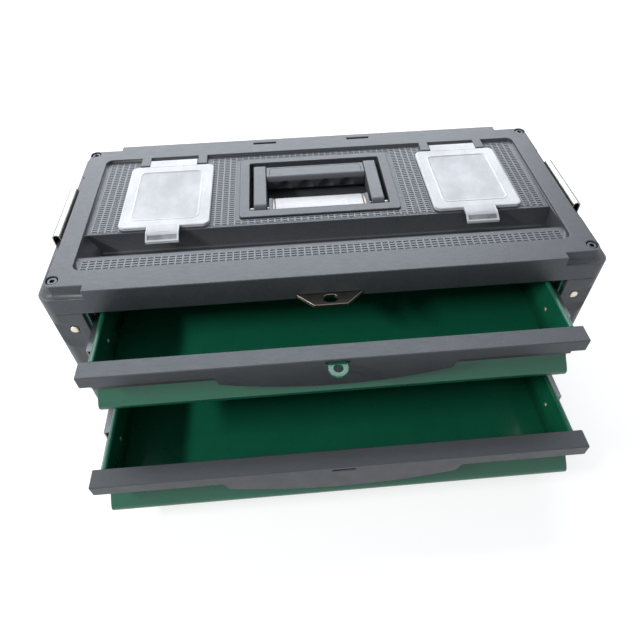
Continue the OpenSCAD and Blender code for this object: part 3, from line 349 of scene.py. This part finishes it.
def ring(width, depth, radius, z, centre, steps=8):
    """Points round a rounded rectangle, counter-clockwise."""
    radius = max(radius, 0.05 * MM)
    points = []
    for corner, (sx, sy) in enumerate(((1, 1), (-1, 1), (-1, -1), (1, -1))):
        for i in range(steps + 1):
            angle = math.radians(90 * (corner + i / steps))
            x = centre[0] + sx * (width / 2 - radius) + radius * math.cos(angle)
            y = centre[1] + sy * (depth / 2 - radius) + radius * math.sin(angle)
            points.append((x, y, z))
    return points


def loft(bm, rings, cap_start=True, cap_end=True, index=0, bands=None):
    """Joins rings of equal length with quads and closes the ends; bands has a finish for each row."""
    rows = [[bm.verts.new(p) for p in points] for points in rings]
    count = len(rows[0])
    for band, (low, high) in enumerate(zip(rows, rows[1:])):
        for i in range(count):
            j = (i + 1) % count
            face = bm.faces.new((low[i], low[j], high[j], high[i]))
            face.material_index = bands[band] if bands else index
    if cap_start:
        bm.faces.new(list(reversed(rows[0]))).material_index = index
    if cap_end:
        bm.faces.new(rows[-1]).material_index = index


def prism(bm, outline, x1, x2, index=0):
    """A block along X with an outline given as (y, z), counter-clockwise seen from +X."""
    loft(bm, [[(x, y, z) for y, z in outline] for x in (x1, x2)], index=index)


def dome(bm, centre, axis, profile, steps=32):
    """A turned head: profile is a list of (radius, height along axis) from its rim to its middle."""
    axis = Vector(axis)
    side = axis.orthogonal().normalized()
    other = axis.cross(side)
    rings = []
    for radius, height in profile:
        turns = [2 * math.pi * i / steps for i in range(steps)]
        rings.append([Vector(centre) + axis * height + (side * math.cos(a) + other * math.sin(a)) * radius
                      for a in turns])
    loft(bm, rings)


# -------------------------------------------------------------- the pieces

# Width of the rounding on each node's edges, in mm
ROUNDED = {
    "top_cover": 0.8, "base_tray": 1.0, "handle_arms": 1.4, "handle_grip": 0.6,
    "front_left_post": 0.8, "front_right_post": 0.8, "rear_left_post": 0.8, "rear_right_post": 0.8,
    "upper_pull_bar": 0.9, "lower_pull_bar": 0.9, "handle_housing": 0.7,
    "lock_plate": 0.7, "left_latch": 0.3, "right_latch": 0.3,
    "cover_screws": 0.4, "padlock_tab": 0.35,
    "left_latch_bracket": 0.2, "right_latch_bracket": 0.2, "divider_rail": 0.3,
    "upper_front": 0.3, "lower_front": 0.3, "upper_tray": 0.3, "lower_tray": 0.3,
}


def make_rounded_nodes():
    for node, width in ROUNDED.items():
        smooth = node in ("handle_grip", "handle_arms")
        rounded_node(node, width * MM, [SMOOTH_PLASTIC] if smooth else None)


TILE_X = 6.5 * MM
TILE_Y = 3.25 * MM
DIMPLE_X = 5.2 * MM
DIMPLE_Y = 1.9 * MM
DIMPLE_SLOPE = 0.25 * MM
NET_MARGIN = 2.0 * MM

# The field and the trough, as distances from the cover's sides, front and back
FIELD_SIDE = 28.0 * MM
FIELD_FRONT = 27.5 * MM
FIELD_BACK = 27.0 * MM
TROUGH_FRONT = 45.5 * MM
TROUGH_BACK = 79.5 * MM

# The lids: their tab and hinge end lie outside the body, and two lugs of the cover carry the hinge
LID_TAB = 18.0 * MM
LID_TAIL = 11.8 * MM
LUG_CENTRE = 30.6 * MM
LUG_HALF = 5.4 * MM
LUG_BACK = 9.0 * MM
HINGE_HALF = 25.0 * MM
TAB_HALF = 15.5 * MM


def tile(bm, x, y, corners):
    """One cell of the net: a flat border, a dimple with sloped sides and its floor."""
    top = FIELD_Z + NET_RISE
    low = FIELD_Z + 0.04 * MM

    def rectangle(w, d, z):
        return [(x + sx * w / 2, y + sy * d / 2, z) for sx, sy in ((-1, -1), (1, -1), (1, 1), (-1, 1))]

    def vertex(p):
        key = (round(p[0] * 1e6), round(p[1] * 1e6), round(p[2] * 1e6))
        if key not in corners:
            corners[key] = bm.verts.new(p)
        return corners[key]

    rows = [[vertex(p) for p in points] for points in (
        rectangle(TILE_X, TILE_Y, top),
        rectangle(DIMPLE_X, DIMPLE_Y, top),
        rectangle(DIMPLE_X - 2 * DIMPLE_SLOPE, DIMPLE_Y - 2 * DIMPLE_SLOPE, low))]
    for outer, inner in zip(rows, rows[1:]):
        for i in range(4):
            j = (i + 1) % 4
            bm.faces.new((outer[i], outer[j], inner[j], inner[i]))
    bm.faces.new(rows[-1])


def make_tile_net():
    """The cross-hatched net on the cover's sunken field, left out under the lids and the housing."""
    cover_low, cover_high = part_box("top_cover")
    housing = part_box("handle_housing")
    x_max = cover_high[0] - FIELD_SIDE - NET_MARGIN
    front = cover_low[1] + FIELD_FRONT + NET_MARGIN
    back = cover_high[1] - FIELD_BACK - NET_MARGIN
    trough_start = cover_low[1] + TROUGH_FRONT - NET_MARGIN / 2
    trough_end = cover_low[1] + TROUGH_BACK + NET_MARGIN / 2
    # Each space is x1, y1, x2, y2 and its gap to the tiles; the tiles reach under the lids' rims
    keep_out = [(housing[0][0], housing[0][1], housing[1][0], housing[1][1], 0.5 * MM)]
    for lid in ("left_lid", "right_lid"):
        low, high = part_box(lid)
        keep_out.append((low[0], low[1] + LID_TAB, high[0], high[1] - LID_TAIL, -4.5 * MM))
        for side in (-1, 1):
            lug = (low[0] + high[0]) / 2 + side * LUG_CENTRE
            keep_out.append((lug - LUG_HALF, high[1] - LID_TAIL,
                             lug + LUG_HALF, high[1] + LUG_BACK, 0.3 * MM))

    def free(x, y):
        if trough_start - TILE_Y / 2 < y < trough_end + TILE_Y / 2:
            return False
        for x1, y1, x2, y2, gap in keep_out:
            if x1 - gap < x + TILE_X / 2 and x - TILE_X / 2 < x2 + gap:
                if y1 - gap < y + TILE_Y / 2 and y - TILE_Y / 2 < y2 + gap:
                    return False
        return True

    bm = bmesh.new()
    corners = {}
    columns = int(2 * x_max / TILE_X)
    rows = int((back - front) / TILE_Y)
    for i in range(columns):
        for j in range(rows):
            x = (i - (columns - 1) / 2) * TILE_X
            y = (front + back) / 2 + (j - (rows - 1) / 2) * TILE_Y
            if free(x, y):
                tile(bm, x, y, corners)
    rim = [e for e in bm.edges if len(e.link_faces) == 1]
    skirt = bmesh.ops.extrude_edge_only(bm, edges=rim)
    for v in skirt["geom"]:
        if isinstance(v, bmesh.types.BMVert):
            v.co.z = FIELD_Z - 0.1 * MM
    bmesh.ops.recalc_face_normals(bm, faces=bm.faces)
    add_piece("cover_tile_net", bm, "top_cover", [TILES], 20, stands_for=False)


# Finishes of a lid, in the order of its material slots
BODY, PANE, EDGE, PAD = range(4)


def lid_body(bm, centre, width, depth, z):
    """The lid's shell: two-tier rolled rim, flat frame, a bead round the window and the window itself."""
    def at(inset, rise, radius):
        inset = inset * MM
        return ring(width - 2 * inset, depth - 2 * inset, radius * MM - inset, z + rise * MM, centre)

    inner = [(12.5, 2.0, BODY), (1.8, 2.0, BODY), (1.8, 0.2, BODY), (0.5, 0.0, BODY)]
    rim = [(0.1, 0.2, EDGE), (0.0, 0.6, EDGE), (0.1, 1.3, EDGE), (0.7, 1.6, BODY), (0.75, 1.9, BODY),
           (0.25, 2.1, EDGE), (0.1, 2.5, EDGE), (0.3, 3.05, EDGE), (0.9, 3.35, EDGE), (1.8, 3.35, BODY)]
    bead = [(10.1, 3.3, BODY), (10.4, 3.55, EDGE), (10.9, 3.68, EDGE), (11.5, 3.6, EDGE),
            (12.0, 3.2, EDGE), (12.5, 2.9, EDGE)]
    profile = inner + rim + bead
    rings = [at(inset, rise, 6.5 if inset < 9 else 17.5) for inset, rise, finish in profile]
    loft(bm, rings, cap_start=False, cap_end=False, bands=[finish for inset, rise, finish in profile[1:]])
    loft(bm, [at(12.5, 2.9, 17.5), at(13.5, 2.8, 18.0)], cap_start=False, index=PANE)
    loft(bm, [at(12.5, 2.0, 17.5)], cap_end=False, index=PANE)


def lid_tab(bm, x, front, z):
    """The tab over the trough: a bent tongue that ends in a raised U-shaped rim round a thin clear pad."""
    end = front - LID_TAB
    bend = front - LID_TAB / 2
    top = z + 3.3 * MM
    fall = 4.0 * MM
    thick = 2.0 * MM
    rim = 1.5 * MM
    lift = 0.5 * MM
    pad_start = end + 6.5 * MM
    inside = TAB_HALF - rim

    def surface(y):
        return top - fall * (bend - y) / (bend - end)

    def strip(y1, y2, up, down):
        upper = [(y, surface(y) + up) for y in (y2, y1)]
        return upper + [(y, surface(y) - down) for y in (y1, y2)]

    tongue = [(front + 1.5 * MM, top), (bend, top), (pad_start, surface(pad_start)),
              (pad_start, surface(pad_start) - thick), (bend, top - thick), (front + 1.5 * MM, top - thick)]
    prism(bm, tongue, x - TAB_HALF, x + TAB_HALF)
    border = 0.25 * MM
    side_rim = [(front, top + border), (bend, top + border), (pad_start, surface(pad_start) + lift),
                (pad_start, surface(pad_start) - border), (bend, top - border), (front, top - border)]
    for side in (-1, 1):
        outer = x + side * TAB_HALF
        for outline, width in ((side_rim, 1.0 * MM), (strip(end, pad_start, lift, thick), rim)):
            other = outer - side * width
            prism(bm, outline, min(outer, other), max(outer, other), EDGE)
    prism(bm, strip(end, end + rim, lift, thick), x - inside, x + inside, EDGE)
    prism(bm, strip(end + rim, pad_start, -0.3 * MM, 0.9 * MM), x - inside, x + inside, PAD)
    ridge = [(bend + 2.2 * MM, top), (bend + 1.8 * MM, top + 0.3 * MM), (bend + 1.0 * MM, top + 0.3 * MM),
             (bend + 0.6 * MM, top)]
    prism(bm, ridge, x - 6 * MM, x + 6 * MM)


def lid_hinge(bm, x, rear, hinge_y, z):
    """The strap from the lid's rear edge to its barrel, with the barrel and its two stubs."""
    top = z + 3.5 * MM
    radius = 1.8 * MM
    barrel = [(hinge_y + radius * math.cos(math.radians(a)), z + radius + radius * math.sin(math.radians(a)))
              for a in range(90, -91, -15)]
    outline = [(rear - 1.6 * MM, z + 0.2 * MM), (rear - 1.6 * MM, top), (hinge_y - 2 * MM, top)] + barrel
    prism(bm, list(reversed(outline)), x - HINGE_HALF, x + HINGE_HALF)
    stub = 0.9 * MM
    for side in (-1, 1):
        dome(bm, (x + side * (HINGE_HALF - 0.1 * MM), hinge_y, z + radius), (side, 0, 0),
             [(stub, 0), (stub, 2.8 * MM), (stub * 0.8, 3.0 * MM)], 16)


def make_lid(node):
    low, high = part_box(node)
    x = (low[0] + high[0]) / 2
    front = low[1] + LID_TAB
    rear = high[1] - LID_TAIL
    z = FIELD_Z + 0.3 * MM
    finishes = [MATERIALS["clear_plastic"], WINDOW, LID_EDGE, LID_PAD]
    bm = bmesh.new()
    lid_body(bm, (x, (front + rear) / 2), high[0] - low[0], rear - front, z)
    lid_tab(bm, x, front, z)
    lid_hinge(bm, x, rear, high[1] - 1.8 * MM, z)
    bmesh.ops.recalc_face_normals(bm, faces=bm.faces)
    add_piece(node + "_moulding", bm, node, finishes, 30)


# Heads of the rivets: each point is a share of the radius, and the height in mm
POST_HEAD = ((0.45, -3.4), (0.45, 0), (0.97, 0), (1.0, 0.25), (0.96, 0.55), (0.86, 0.9),
             (0.7, 1.2), (0.5, 1.42), (0.25, 1.55), (0.1, 1.58))
DRAWER_HEAD = ((0.55, -2.2), (0.55, -0.05), (0.98, 0), (1.0, 0.15), (0.9, 0.4), (0.65, 0.62),
               (0.3, 0.75), (0.1, 0.78))


def head_profile(points, radius):
    return [(radius * share, height * MM) for share, height in points]


def make_post_rivets():
    """Domed heads on the rivets in the front posts' pockets."""
    low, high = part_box("post_rivets")
    radius = (high[2] - low[2]) / 2
    head = 1.6 * MM
    bm = bmesh.new()
    for side in (-1, 1):
        centre = (side * (high[0] - radius), low[1] + head, (low[2] + high[2]) / 2)
        dome(bm, centre, (0, -1, 0), head_profile(POST_HEAD, radius))
    bmesh.ops.recalc_face_normals(bm, faces=bm.faces)
    add_piece("post_rivet_domes", bm, "post_rivets", [RIVET])


def make_drawer_rivets(node):
    """Domed heads inside each drawer, where the slides' inner rails are riveted on."""
    low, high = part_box(node)
    radius = (high[2] - low[2]) / 2
    bm = bmesh.new()
    shank = 2.2 * MM
    wall = high[0] - shank
    for side in (-1, 1):
        for y in (low[1] + radius, high[1] - radius):
            centre = (side * wall, y, (low[2] + high[2]) / 2)
            dome(bm, centre, (-side, 0, 0), head_profile(DRAWER_HEAD, radius), 20)
    bmesh.ops.recalc_face_normals(bm, faces=bm.faces)
    add_piece(node + "_domes", bm, node)


def make_nameplate():
    """The bare nameplate: a bevelled panel and an end clip on each side of it, across a narrow slit."""
    low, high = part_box("nameplate")
    clip = 2.2 * MM
    slit = 0.9 * MM
    bevel = 0.25 * MM
    depth = high[1] - low[1]
    bm = bmesh.new()
    panel_x = high[0] - clip - slit
    strips = ((low[0], low[0] + clip, 1), (-panel_x, panel_x, 0), (high[0] - clip, high[0], 1))
    for start, end, finish in strips:
        centre = ((start + end) / 2, (low[1] + high[1]) / 2)
        width = end - start
        loft(bm, [ring(width, depth, bevel, low[2], centre, 4),
                  ring(width, depth, bevel, high[2] - bevel, centre, 4),
                  ring(width - 2 * bevel, depth - 2 * bevel, bevel, high[2], centre, 4)], index=finish)
    bmesh.ops.recalc_face_normals(bm, faces=bm.faces)
    add_piece("nameplate_panel", bm, "nameplate", [MATERIALS["plate_metal"], MATERIALS["lock_steel"]])


def make_grip_seam():
    """The joint groove on the grip's top, turned forward at both ends: a dark strip of painted shade stands
    for it.
    """
    low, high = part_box("handle_grip")
    half_x = high[0] - 3.5 * MM
    back = high[1] - 6.0 * MM
    front = low[1] + 6.0 * MM
    radius = 4.0 * MM
    half = 0.45 * MM
    proud = 0.02 * MM
    sunk = 0.3 * MM
    steps = 8
    corner = []
    for step in range(steps + 1):
        angle = math.radians(90 * step / steps)
        x = half_x - radius + radius * math.cos(angle)
        corner.append((x, back - radius + radius * math.sin(angle)))
    right = [(half_x, front)] + corner
    path = [(-x, y) for x, y in right] + right[::-1]
    rings = []
    for i, (x, y) in enumerate(path):
        before = path[max(i - 1, 0)]
        after = path[min(i + 1, len(path) - 1)]
        along = Vector((after[0] - before[0], after[1] - before[1], 0)).normalized()
        side = Vector((-along.y, along.x, 0)) * half
        top = Vector((x, y, high[2] + proud))
        bottom = Vector((x, y, high[2] - sunk))
        rings.append([top + side, top - side, bottom - side, bottom + side])
    bm = bmesh.new()
    loft(bm, rings)
    bmesh.ops.recalc_face_normals(bm, faces=bm.faces)
    add_piece("handle_grip_seam", bm, "handle_grip", [SEAM_SHADE], stands_for=False)


def dress_nodes():
    """Gives every CAD node that still shows its own finish."""
    for node in frame["nodes"]:
        obj = node_object(node)
        if not obj.material_slots:
            obj.data.materials.append(None)
        on_slide = node.endswith(("_inner_rail", "_middle_rail", "_outer_rail"))
        for slot in obj.material_slots:
            slot.material = SLIDE if on_slide else MATERIALS[SLOTS[node]]


dress_nodes()
make_rounded_nodes()
make_tile_net()
for lid_node in ("left_lid", "right_lid"):
    make_lid(lid_node)
make_nameplate()
make_grip_seam()
make_post_rivets()
for rivets_node in ("upper_drawer_rivets", "lower_drawer_rivets"):
    make_drawer_rivets(rivets_node)


# ---------------------------------------------------------- light and floor

def soft_light(name, place, target, size, power, colour):
    data = bpy.data.lights.new(name, "AREA")
    data.shape = "RECTANGLE"
    data.size, data.size_y = size
    data.energy = power
    data.color = colour
    lamp = bpy.data.objects.new(name, data)
    SCENE.collection.objects.link(lamp)
    lamp.location = place
    aim = Vector(target) - Vector(place)
    lamp.rotation_euler = aim.to_track_quat("-Z", "Y").to_euler()


def seen_rays(tree):
    """A socket that is 1 for the camera's rays and for those that are mirrored or let through."""
    rays = tree.nodes.new("ShaderNodeLightPath")
    total = rays.outputs["Is Camera Ray"]
    for kind in ("Is Glossy Ray", "Is Transmission Ray"):
        larger = tree.nodes.new("ShaderNodeMath")
        larger.operation = "MAXIMUM"
        tree.links.new(total, larger.inputs[0])
        tree.links.new(rays.outputs[kind], larger.inputs[1])
        total = larger.outputs[0]
    return total


def white_world(strength, tint):
    """A sky that is seen and mirrored as plain white and lights the scene softly with a faint tint."""
    world = bpy.data.worlds.new("world")
    SCENE.world = world
    world.use_nodes = True
    tree = world.node_tree
    light = tree.nodes["Background"]
    light.inputs["Color"].default_value = tint
    light.inputs["Strength"].default_value = strength
    white = tree.nodes.new("ShaderNodeBackground")
    white.inputs["Color"].default_value = rgb(1, 1, 1)
    white.inputs["Strength"].default_value = 1.0
    mix = tree.nodes.new("ShaderNodeMixShader")
    tree.links.new(seen_rays(tree), mix.inputs["Fac"])
    tree.links.new(light.outputs[0], mix.inputs[1])
    tree.links.new(white.outputs[0], mix.inputs[2])
    tree.links.new(mix.outputs[0], tree.nodes["World Output"].inputs["Surface"])


def make_floor():
    """A pale floor that the camera sees as plain white, less its shadow, and that mirrors see as white."""
    s = Shader("floor")
    s.set(base_color=s.blend(s.noise(300, 2), rgb(0.5, 0.5, 0.5), rgb(0.53, 0.53, 0.53)), roughness=0.9)
    place = s.tree.nodes.new("ShaderNodeNewGeometry")
    distance = s.tree.nodes.new("ShaderNodeVectorMath")
    distance.operation = "LENGTH"
    s.link(place.outputs["Position"], distance.inputs[0])
    # Away from the lamps the floor glows more, so that it stays white up to the sky
    glow = s.range(distance.outputs["Value"], 0.9, 4.0, 0.75, 1.0)
    s.set(emission_color=rgb(1, 1, 1), emission_strength=s.math("MULTIPLY", seen_rays(s.tree), glow))
    bm = bmesh.new()
    half = 12.0
    drop = 0.5 * MM
    sides = ((-1, -1), (1, -1), (1, 1), (-1, 1))
    bm.faces.new([bm.verts.new((sx * half, sy * half, -drop)) for sx, sy in sides])
    mesh = bpy.data.meshes.new("floor")
    bm.to_mesh(mesh)
    bm.free()
    mesh.materials.append(s.material)
    floor = bpy.data.objects.new("floor", mesh)
    SCENE.collection.objects.link(floor)


SCENE.view_settings.view_transform = "Standard"
white_world(0.2, rgb(0.86, 0.96, 1.12))
soft_light("key", (-1.31, -0.52, 1.0), (0, -0.1, 0.1), (0.55, 0.1), 13, (1.0, 0.99, 0.95))
soft_light("back", (-0.25, 2.1, 1.82), (-0.1, 0.0, 0.15), (3.5, 2.0), 95, (0.95, 0.98, 1.04))
make_floor()
